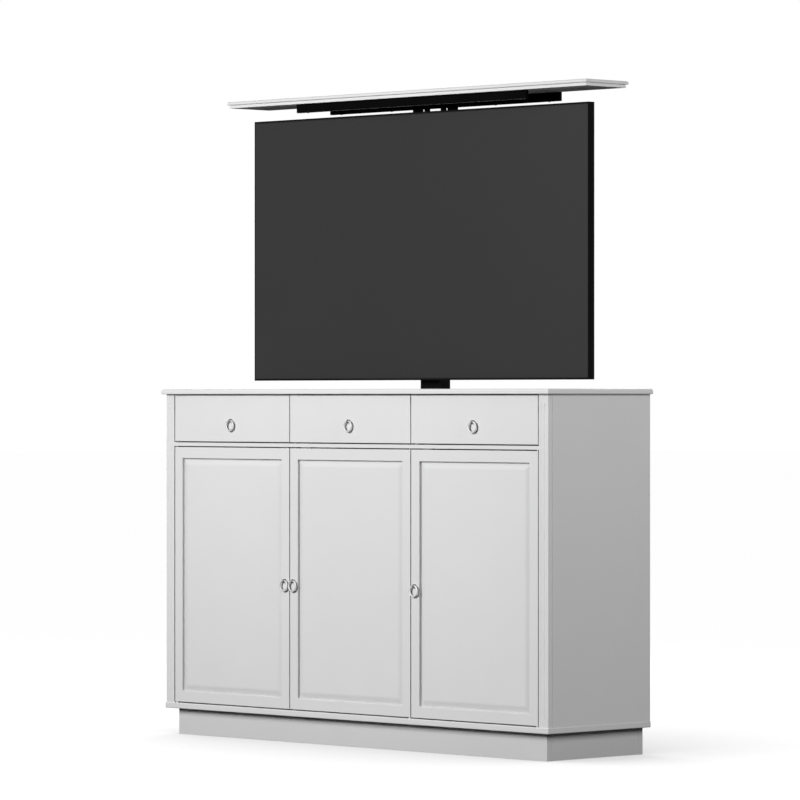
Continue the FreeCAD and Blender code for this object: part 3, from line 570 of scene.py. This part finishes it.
BOX_BOARD = 10 * MM
PLIES = 7
PLY_PROUD = 0.05 * MM
CAM_FROM_FRONT = 24 * MM
GUIDE = 14 * MM
GUIDE_SCREWS = 3
COUNTERSUNK = ((0, 3.4), (0.2, 3.4), (0.2, 1.6), (0.05, 1.4))

guide_low, guide_high = corners("drawer_guides")
guide_screws = bmesh.new()
for side in SIDES:
    low, high = corners(f"drawer_{side}_box")
    rims = bmesh.new()
    deep = high.z - MM
    top = high.z + PLY_PROUD
    for layer in range(1, PLIES, 2):
        near = layer * BOX_BOARD / PLIES
        far = near + BOX_BOARD / PLIES
        block(rims, (low.x + near, low.y + MM, deep), (low.x + far, high.y - MM, top))
        block(rims, (high.x - far, low.y + MM, deep), (high.x - near, high.y - MM, top))
        block(rims, (low.x + BOX_BOARD, high.y - far, deep), (high.x - BOX_BOARD, high.y - near, top))
    piece(f"drawer_{side}_plies", rims, cross_ply, f"drawer_{side}")
    cams = bmesh.new()
    for x, toward in ((low.x + BOX_BOARD, 1), (high.x - BOX_BOARD, -1)):
        for z in (low.z + CAM_UP, high.z - CAM_UP):
            turned(cams, (x, low.y + CAM_FROM_FRONT, z), RIGHT * toward, CAM)
    piece(f"drawer_{side}_cams", cams, steel, f"drawer_{side}")
    for x in (low.x - GUIDE / 2, high.x + GUIDE / 2):
        for y in spread(guide_low.y + 2 * GUIDE, guide_high.y - 2 * GUIDE, GUIDE_SCREWS):
            turned(guide_screws, (x, y, guide_high.z), UP, COUNTERSUNK, turns=20)
piece("guide_screws", guide_screws, steel, "cabinet")

# ---------------------------------------------------------------- ring handles
# Chrome-plated brass: an eye on a stem, held by a nut behind the front, and a cast ring that
# hangs in it and swings.

RING_REACH = 10 * MM
DARK_CHROME = (0.16, 0.16, 0.165)
chrome = Finish("polished_chrome", (0.46, 0.46, 0.47), 0.58, metallic=1.0)
chrome.gloss(120, 0.54, 0.63)
chrome.mottle(200, 0.02)
# Painted shade and reflection: the ring darkens where it lies close to its eye and the front.
chrome.tint(chrome.recess(RING_REACH, 0.50, 0.85), DARK_CHROME)
# The eyes are a darker chrome than the rings.
eye_chrome = Finish("eye_chrome", DARK_CHROME, 0.44, metallic=1.0)
eye_chrome.gloss(120, 0.40, 0.50)
eye_chrome.mottle(200, 0.03)
for side in SIDES:
    dress(chrome, f"drawer_{side}_ring", f"door_{side}_ring")
    dress(eye_chrome, f"drawer_{side}_eye", f"door_{side}_eye")

# ---------------------------------------------------------------- door fittings
# Zinc-plated pins in the boards above and below each door, and magnetic catches under the deck
# with two pole strips each. A steel plate on the door's back meets its catch.

dress(steel, "door_pivot_pins")
dress(plastic, "door_catches")

CATCH_IN = 46 * MM
CATCH_SIDES = {"left": (-1, 1), "middle": (-1, -1), "right": (1, 1)}
STRIKE_HALF = 17 * MM
STRIKE_THICK = 0.4 * MM
STRIKE_DOWN = (2 * MM, 14 * MM)
POLE_HALF = 15 * MM
POLE_PROUD = 0.12 * MM
POLE_TALL = 2 * MM
POLES_UP = (2.2 * MM, 7.8 * MM)
catch_low = corners("door_catches")[0]
poles = bmesh.new()
for side in SIDES:
    divider_sign, outward = CATCH_SIDES[side]
    x = divider_sign * (divider_high.x - DIVIDER / 2 + outward * CATCH_IN)
    door_high = corners(f"door_{side}_frame")[1]
    strike = bmesh.new()
    block(strike, (x - STRIKE_HALF, door_high.y, door_high.z - STRIKE_DOWN[1]),
          (x + STRIKE_HALF, door_high.y + STRIKE_THICK, door_high.z - STRIKE_DOWN[0]))
    piece(f"door_{side}_strike", strike, steel, f"door_{side}", bevel=0.15 * MM)
    for low in POLES_UP:
        block(poles, (x - POLE_HALF, catch_low.y - POLE_PROUD, catch_low.z + low),
              (x + POLE_HALF, catch_low.y + MM, catch_low.z + low + POLE_TALL))
piece("catch_poles", poles, steel, "cabinet")

# ---------------------------------------------------------------- lift foot
# A steel plate bolted to the bottom board, with the fixed column welded on it and the gear motor
# beside it. A bead runs round the column's foot, bands round the motor, and screws close its case.

powder = Finish("black_powder_coat", (0.0115, 0.0115, 0.0116), 0.62, specular=0.02)
powder.mottle(8, 0.12)
powder.gloss(60, 0.55, 0.70)
powder.relief(powder.noise(1100, detail=2.0), 0.06 * MM, 0.6)
dress(powder, "lift_base_plate", "lift_motor")
STEEL_ARRIS = 0.5 * MM
ease(STEEL_ARRIS, "lift_base_plate")
dress(steel, "lift_bolts")


def hoop(bm, middle, half, corner, profile, axes=(RIGHT, BACK, UP), steps=4):
    """A ring round a rounded rectangle: pairs of outset and rise, in millimetres, swept along it."""
    across, along, rise = axes
    spots = []
    for turn, (sx, sy) in enumerate(((1, 1), (-1, 1), (-1, -1), (1, -1))):
        centre = Vector(middle) + across * sx * (half[0] - corner) + along * sy * (half[1] - corner)
        for step in range(steps + 1):
            angle = (turn + step / steps) * tau / 4
            spots.append((centre, across * cos(angle) + along * sin(angle)))
    rings = [[bm.verts.new(centre + outward * (corner + out * MM) + rise * up * MM) for out, up in profile]
             for centre, outward in spots]
    for ring, after in zip(rings, rings[1:] + rings[:1]):
        for turn in range(len(profile)):
            following = (turn + 1) % len(profile)
            bm.faces.new((ring[turn], ring[following], after[following], after[turn]))


BEAD = ((-0.5, -0.5), (4, -0.2), (3.2, 1.6), (1.6, 3.2), (-0.2, 4))
COLUMN_ROUND = 3 * MM
outer_low, outer_high = corners("outer_column")
foot = Vector((0, (outer_low.y + outer_high.y) / 2, outer_low.z))
bm = bmesh.new()
hoop(bm, foot, ((outer_high.x - outer_low.x) / 2, (outer_high.y - outer_low.y) / 2), COLUMN_ROUND, BEAD)
piece("foot_weld", bm, powder, "cabinet")

motor_low, motor_high = corners("lift_motor")
GEAR_TALL = 44 * MM
CAN = (23.9, 24.7)
BANDS_UP = (2, 62, 122)
GEAR_SCREWS_OFF = (28, 19.5)
GEAR_HEAD = 3.2
CAN_SCREWS_OFF = 13
CAN_HEAD = 2.5
gear_top = motor_low.z + GEAR_TALL
can_foot = (motor_low + motor_high) / 2
can_foot.z = gear_top
bm = bmesh.new()
for rise in BANDS_UP:
    turned(bm, can_foot + UP * rise * MM, UP, ((0, CAN[0]), (0.6, CAN[1]), (4.4, CAN[1]), (5, CAN[0])),
           turns=48)
piece("motor_bands", bm, plastic, "cabinet")
bm = bmesh.new()
for sx in (-1, 1):
    for sy in (-1, 1):
        place = can_foot + RIGHT * sx * GEAR_SCREWS_OFF[0] * MM + BACK * sy * GEAR_SCREWS_OFF[1] * MM
        screw_head(bm, place, UP, GEAR_HEAD)
    place = Vector((can_foot.x + sx * CAN_SCREWS_OFF * MM, can_foot.y, motor_high.z))
    screw_head(bm, place, UP, CAN_HEAD)
piece("motor_screws", bm, steel, "cabinet")

# ---------------------------------------------------------------- control box
# A moulded box screwed down by two ears, with ribs over its vents, a small green lamp, two motor
# sockets on its end and the three pins of its mains inlet.

dress(plastic, "control_box")
control_low, control_high = corners("control_box")
control = (control_low + control_high) / 2
# A near-black: the real black of the tube plugs, and painted shade in the socket holes and behind the
# vents.
pit = Finish("black_and_hole_shade", (0.004, 0.004, 0.004), 0.8, specular=0.02)
pit.mottle(40, 0.1)
pit.gloss(50, 0.7, 0.9)
lens = Finish("lamp_lens", (0.10, 0.42, 0.16), 0.25, specular=0.4)
lens.mottle(300, 0.06)
lens.gloss(200, 0.2, 0.3)

RIBS = 15
RIBS_FROM, RIBS_TO = 22 * MM, 10 * MM
RIB_HALF = (1.4 * MM, 16 * MM)
RIB_PROUD = 1.2 * MM
EAR_LONG = 13 * MM
EAR_HALF = 9 * MM
EAR_UP = (0.2 * MM, 3 * MM)
SOCKET_OFF = 14 * MM
SOCKET_HALF = (9 * MM, 6 * MM)
SOCKET_CORNER = 1.5 * MM
SOCKET_RIM = ((0, -1), (0, 2.2), (-1.6, 2.2), (-1.6, -1))
MOULDED_ARRIS = 0.4 * MM
ribs = bmesh.new()
for x in spread(control_low.x + RIBS_FROM, control.x + RIBS_TO, RIBS):
    block(ribs, (x - RIB_HALF[0], control.y - RIB_HALF[1], control_high.z - MM),
          (x + RIB_HALF[0], control.y + RIB_HALF[1], control_high.z + RIB_PROUD))
for sign in (-1, 1):
    end = control.x + sign * (control_high.x - control.x)
    left, right = sorted((end - sign * MM, end + sign * EAR_LONG))
    block(ribs, (left, control.y - EAR_HALF, control_low.z + EAR_UP[0]),
          (right, control.y + EAR_HALF, control_low.z + EAR_UP[1]))
for y in (-SOCKET_OFF, SOCKET_OFF):
    hoop(ribs, (control_high.x, control.y + y, control.z), SOCKET_HALF, SOCKET_CORNER, SOCKET_RIM,
         (BACK, UP, RIGHT))
piece("control_ribs", ribs, plastic, "cabinet", bevel=MOULDED_ARRIS)

HOLE_HALF = (7.6 * MM, 4.6 * MM)
HOLE_SUNK = 0.5 * MM
HOLE_PROUD = 0.3 * MM
# Painted shade: dark blocks stand for the socket holes.
hole_shades = bmesh.new()
for y in (-SOCKET_OFF, SOCKET_OFF):
    block(hole_shades, (control_high.x - HOLE_SUNK, control.y + y - HOLE_HALF[0], control.z - HOLE_HALF[1]),
          (control_high.x + HOLE_PROUD, control.y + y + HOLE_HALF[0], control.z + HOLE_HALF[1]))
piece("control_sockets", hole_shades, pit, "cabinet")

PINS = ((-7, -2), (0, 3), (7, -2))
PIN_HALF = (1, 2)
PIN_IN = (12.5 * MM, 3 * MM)
EAR_SCREW_OUT = 7.5 * MM
EAR_HEAD = 3.2
pins = bmesh.new()
for x, z in PINS:
    block(pins, (control.x + (x - PIN_HALF[0]) * MM, control_high.y - PIN_IN[0],
                 control.z + (z - PIN_HALF[1]) * MM),
          (control.x + (x + PIN_HALF[0]) * MM, control_high.y - PIN_IN[1],
           control.z + (z + PIN_HALF[1]) * MM))
for sign in (-1, 1):
    screw_head(pins, (control.x + sign * (control_high.x - control.x + EAR_SCREW_OUT), control.y,
                      control_low.z + EAR_UP[1]), UP, EAR_HEAD)
piece("control_metal", pins, steel, "cabinet", bevel=0.2 * MM)

LAMP_IN = 24 * MM
LAMP_SUNK = 0.5 * MM
LAMP_DOME = ((0, 2.6), (0.8, 2.6), (1.4, 2.2), (1.8, 1.2), (1.9, 0.3))
bm = bmesh.new()
turned(bm, (control_high.x - LAMP_IN, control.y, control_high.z - LAMP_SUNK), UP, LAMP_DOME, turns=24)
piece("control_lamp", bm, lens, "cabinet")

# ---------------------------------------------------------------- columns
# Three rectangular steel tubes, one in the other, powder-coated black. Plastic glides close the
# gaps at the heads of the two lower ones. The screw and its tube run up the middle.

dress(powder, "outer_column", "middle_column", "inner_column")
ease(STEEL_ARRIS, "outer_column", "middle_column", "inner_column")
dress(steel, "drive_screw", "screw_tube")

GLIDE_TALL = 4
GLIDE_PLAY = 0.3 * MM
middle_high = corners("middle_column")[1]
inner_high = corners("inner_column")[1]
for name, outside, inside, body in (("outer_glide", outer_high, middle_high, "cabinet"),
                                    ("middle_glide", middle_high, inner_high, "lift_middle")):
    hole = (inside.x + GLIDE_PLAY, inside.y - foot.y + GLIDE_PLAY)
    wall = min(outside.x - hole[0], outside.y - foot.y - hole[1]) / MM
    bm = bmesh.new()
    hoop(bm, Vector((0, foot.y, outside.z)), hole, COLUMN_ROUND,
         ((0, 0), (wall, 0), (wall, GLIDE_TALL - 1), (wall - 1, GLIDE_TALL), (0.6, GLIDE_TALL), (0, 3.4)))
    piece(name, bm, plastic, body)

# ---------------------------------------------------------------- hanger and mount plate
# A head plate bolted down on the inner column, two slotted bars welded under it, and a pressed
# plate with two windows that bolts to the bars and screws to the screen's back.

dress(powder, "lift_hanger", "screen_mount_plate")
ease(STEEL_ARRIS, "lift_hanger", "screen_mount_plate")

hanger_high = corners("lift_hanger")[1]
mount_low, mount_high = corners("screen_mount_plate")
BAR_X = 61 * MM
BAR_THICK = 6 * MM
SLOT_MIDDLES = (mount_low.z + 65 * MM, mount_low.z + 155 * MM)
WASHER = ((0, 8.5), (1.1, 8.5), (1.4, 8.2), (1.4, 4))
ON_WASHER = 1.2
HEX = ((0, 6.4), (4.2, 6.4), (4.8, 5.7))
PLATE_HEAD = 5.5
PLATE_SCREWS_X = 200 * MM
PLATE_SCREWS_IN = 20 * MM
HANGER_BOLTS_OFF = (14 * MM, 10 * MM)

bm = bmesh.new()
for sign in (-1, 1):
    for z in SLOT_MIDDLES:
        place = Vector((sign * BAR_X, mount_high.y + BAR_THICK, z))
        turned(bm, place, BACK, WASHER)
        turned(bm, place + BACK * ON_WASHER * MM, BACK, HEX, turns=6)
    for z in (mount_low.z + PLATE_SCREWS_IN, mount_high.z - PLATE_SCREWS_IN):
        place = Vector((sign * PLATE_SCREWS_X, mount_high.y, z))
        turned(bm, place, BACK, WASHER)
        screw_head(bm, place + BACK * ON_WASHER * MM, BACK, PLATE_HEAD)
    for y in (-HANGER_BOLTS_OFF[1], HANGER_BOLTS_OFF[1]):
        place = Vector((sign * HANGER_BOLTS_OFF[0], foot.y + y, hanger_high.z))
        turned(bm, place, UP, HEX, turns=6)
piece("mount_bolts", bm, steel, "lift_carriage")

# ---------------------------------------------------------------- lid arms and rails
# Two slotted plates welded on the hanger's head, each with a strap across the top, and two flat
# tubes that carry the lid from end to end. Screws go up into the lid, and plugs close the tubes.

rail_paint = Finish("black_rail_paint", (0.0042, 0.0042, 0.0043), 0.5, specular=0.0)
rail_paint.mottle(8, 0.12)
rail_paint.gloss(60, 0.45, 0.58)
rail_paint.relief(rail_paint.noise(1100, detail=2.0), 0.05 * MM, 0.5)
RAIL_DEEP = 12 * MM
RAIL_HIGHLIGHT_WIDTH = 1.5 * MM
RAIL_HIGHLIGHT_UP = 2.5 * MM
RAIL_EDGE_HIGHLIGHT = (0.36, 0.36, 0.365)
RAIL_WEAR_AND_SHEEN = (0.03, 0.03, 0.031)
PLUG_PLAY = 0.3 * MM
PLUG_THICK = 1.2 * MM
arm_low, arm_high = corners("lid_arms")
rail_low, rail_high = corners("lid_rails")
# Painted highlight: a light line along the front rail's lower edges stands for the reflection of the
# floor.
lower_edge_highlight = rail_paint.both(rail_paint.edges(RAIL_HIGHLIGHT_WIDTH), rail_paint.beyond("Z", rail_low.z + RAIL_HIGHLIGHT_UP, -1))
lower_edge_highlight = rail_paint.both(lower_edge_highlight, rail_paint.beyond("Y", rail_low.y + RAIL_DEEP + MM, -1))
rail_paint.tint(lower_edge_highlight, RAIL_EDGE_HIGHLIGHT)
# The line along all rail and arm edges is partly wear and partly painted sheen.
rail_paint.edge_line(RUB_WIDTH, RAIL_WEAR_AND_SHEEN, 0.8)
dress(rail_paint, "lid_arms", "lid_rails")
ease(STEEL_ARRIS, "lid_arms", "lid_rails")

LID_HEAD = 3.6
RAIL_SCREWS = 5
RAIL_SCREWS_IN = 45 * MM
plugs = bmesh.new()
heads = bmesh.new()
for y in (rail_low.y, rail_high.y - RAIL_DEEP):
    for end, out in ((rail_low.x, -PLUG_THICK), (rail_high.x, PLUG_THICK)):
        block(plugs, (min(end, end + out), y + PLUG_PLAY, rail_low.z + PLUG_PLAY),
              (max(end, end + out), y + RAIL_DEEP - PLUG_PLAY, rail_high.z - PLUG_PLAY))
    for x in spread(rail_low.x + RAIL_SCREWS_IN, rail_high.x - RAIL_SCREWS_IN, RAIL_SCREWS):
        screw_head(heads, (x, y + RAIL_DEEP / 2, rail_low.z), -UP, LID_HEAD)

ARM_IN = 24 * MM
ARM_THICK = 4 * MM
ARM_SCREWS = 2
ARM_SCREWS_IN = 49 * MM
ARM_CORNER = 0.5 * MM
ARM_BEAD = ((-0.3, -0.3), (2.6, -0.1), (2.0, 1.1), (1.0, 2.1), (-0.2, 2.6))
arm_half = (arm_high.x - ARM_IN) / 2
welds = bmesh.new()
for sign in (-1, 1):
    x = sign * (ARM_IN + arm_half)
    for y in spread(rail_low.y + ARM_SCREWS_IN, rail_high.y - ARM_SCREWS_IN, ARM_SCREWS):
        screw_head(heads, (x, y, arm_high.z - ARM_THICK), -UP, LID_HEAD)
    hoop(welds, Vector((x, foot.y, arm_low.z)), (arm_half, ARM_THICK / 2), ARM_CORNER, ARM_BEAD)
piece("rail_plugs", plugs, pit, "lift_carriage", bevel=MOULDED_ARRIS)
piece("lid_screws", heads, powder, "lift_carriage")
piece("arm_welds", welds, powder, "lift_carriage")

# ---------------------------------------------------------------- lid
# One long lacquered board with a fine groove over a narrow step, which drops into the top board's
# opening when the screen is down. Its lacquer is a little flatter than the case's.

lid_lacquer = sprayed("white_lid_lacquer", WHITE, 0.0)
dress(lid_lacquer, "lid")

# ---------------------------------------------------------------- screen
# A flat screen: a slim black aluminium frame round coated glass, which is dark when switched off
# and has a black border printed along its upper and lower edges.

anodised = Finish("black_aluminium", (0.0098, 0.0098, 0.0099), 0.45, specular=0.0)
anodised.mottle(20, 0.08)
anodised.gloss(60, 0.38, 0.50)
anodised.relief(anodised.noise(700, (1, 1, 12), 2.0), 0.02 * MM, 0.4)
dress(anodised, "screen_frame")

glass = Finish("dark_glass", (0.0185, 0.0185, 0.0185), 0.38, specular=0.18)
glass.mottle(1.2, 0.04)
glass.gloss(30, 0.36, 0.40)
BORDER = 2.2 * MM
BORDER_BLACK = (0.004, 0.004, 0.004)
glass_low, glass_high = corners("screen_glass")
for edge, inward in ((glass_low.z, 1), (glass_high.z, -1)):
    glass.tint(glass.beyond("Z", edge + inward * BORDER, -inward), BORDER_BLACK)
dress(glass, "screen_glass")

# ---------------------------------------------------------------- screen back
# A moulded plastic cover with a raised middle for the electronics, held by screws round its edge.
# Slatted vents lie above it and low at either side, and a bay of sockets stands on it at one side.

dress(plastic, "screen_back_cover")
cover_low, cover_high = corners("screen_back_cover")
HUMP = 11 * MM
sheet_y = cover_high.y - HUMP
LOUVRE = (6 * MM, 1.3 * MM)
PITCH = 10 * MM
VENT_RIM = 2 * MM
VENT_SHADE = 0.12 * MM
UPPER_VENT_DOWN = (150 * MM, 100 * MM)
LOWER_VENTS_UP = (32 * MM, 62 * MM)
# The left and right end in millimetres and the low and high edge of each vent.
vents = (
    (-330, 330, cover_high.z - UPPER_VENT_DOWN[0], cover_high.z - UPPER_VENT_DOWN[1]),
    (-620, -400, cover_low.z + LOWER_VENTS_UP[0], cover_low.z + LOWER_VENTS_UP[1]),
    (400, 620, cover_low.z + LOWER_VENTS_UP[0], cover_low.z + LOWER_VENTS_UP[1]),
)
slats = bmesh.new()
shade = bmesh.new()
for left, right, low, high in vents:
    left, right = left * MM, right * MM
    block(shade, (left, sheet_y - MM, low), (right, sheet_y + VENT_SHADE, high))
    for x in spread(left, right, round((right - left) / PITCH) + 1):
        block(slats, (x - LOUVRE[0] / 2, sheet_y - MM, low),
              (x + LOUVRE[0] / 2, sheet_y + LOUVRE[1], high))
    for z in (low, high):
        block(slats, (left - LOUVRE[0] / 2, sheet_y - MM, z - VENT_RIM),
              (right + LOUVRE[0] / 2, sheet_y + LOUVRE[1], z + VENT_RIM))

BAY_X = 330 * MM
BAY_UP = 190 * MM
BAY = Vector((BAY_X, cover_high.y, cover_low.z + BAY_UP))
BAY_HALF = (76 * MM, 26 * MM)
BAY_CORNER = 5 * MM
BAY_RIM = ((0, -1), (0, 1.6), (-0.6, 2.0), (-2.6, 2.0), (-2.6, -1))
BAY_FLOOR = (74 * MM, 24 * MM)
BAY_FLOOR_PROUD = 0.15 * MM
FACING = (-RIGHT, UP, BACK)
hoop(slats, BAY, BAY_HALF, BAY_CORNER, BAY_RIM, FACING)
block(shade, BAY - Vector((BAY_FLOOR[0], MM, BAY_FLOOR[1])),
      BAY + Vector((BAY_FLOOR[0], BAY_FLOOR_PROUD, BAY_FLOOR[1])))

# Three flat sockets, a square one and a round one: the place along the bay and the shell of each.
FLAT_PLACES = (-56, -28, 0)
FLAT_HALF = (8.6 * MM, 3.6 * MM)
FLAT_CORNER = 1.2 * MM
FLAT_SHELL = ((0, -0.5), (0, 1.4), (-0.8, 1.4), (-0.8, -0.5))
SQUARE_PLACE = 26
SQUARE_HALF = (8 * MM, 7 * MM)
SQUARE_CORNER = 1 * MM
SQUARE_SHELL = ((0, -0.5), (0, 1.4), (-0.9, 1.4), (-0.9, -0.5))
ROUND_PLACE = 54
ROUND_SHELL = ((-0.5, 4.8), (8, 4.8), (8.4, 4.4), (8.4, 2.2), (2, 2.2))
shells = bmesh.new()
for x in FLAT_PLACES:
    hoop(shells, BAY + RIGHT * x * MM, FLAT_HALF, FLAT_CORNER, FLAT_SHELL, FACING)
hoop(shells, BAY + RIGHT * SQUARE_PLACE * MM, SQUARE_HALF, SQUARE_CORNER, SQUARE_SHELL, FACING)
turned(shells, BAY + RIGHT * ROUND_PLACE * MM, BACK, ROUND_SHELL)
piece("cover_slats", slats, plastic, "lift_carriage", bevel=0.35 * MM)
piece("cover_shade", shade, pit, "lift_carriage")
piece("cover_sockets", shells, steel, "lift_carriage")

EDGE_IN = 14 * MM
EDGE_SCREWS = (7, 5)
COVER_HEAD = 3.4
heads = bmesh.new()
for z in (cover_low.z + EDGE_IN, cover_high.z - EDGE_IN):
    for x in spread(cover_low.x + EDGE_IN, cover_high.x - EDGE_IN, EDGE_SCREWS[0]):
        screw_head(heads, (x, sheet_y, z), BACK, COVER_HEAD)
for x in (cover_low.x + EDGE_IN, cover_high.x - EDGE_IN):
    for z in spread(cover_low.z + EDGE_IN, cover_high.z - EDGE_IN, EDGE_SCREWS[1])[1:-1]:
        screw_head(heads, (x, sheet_y, z), BACK, COVER_HEAD)
piece("cover_screws", heads, steel, "lift_carriage")
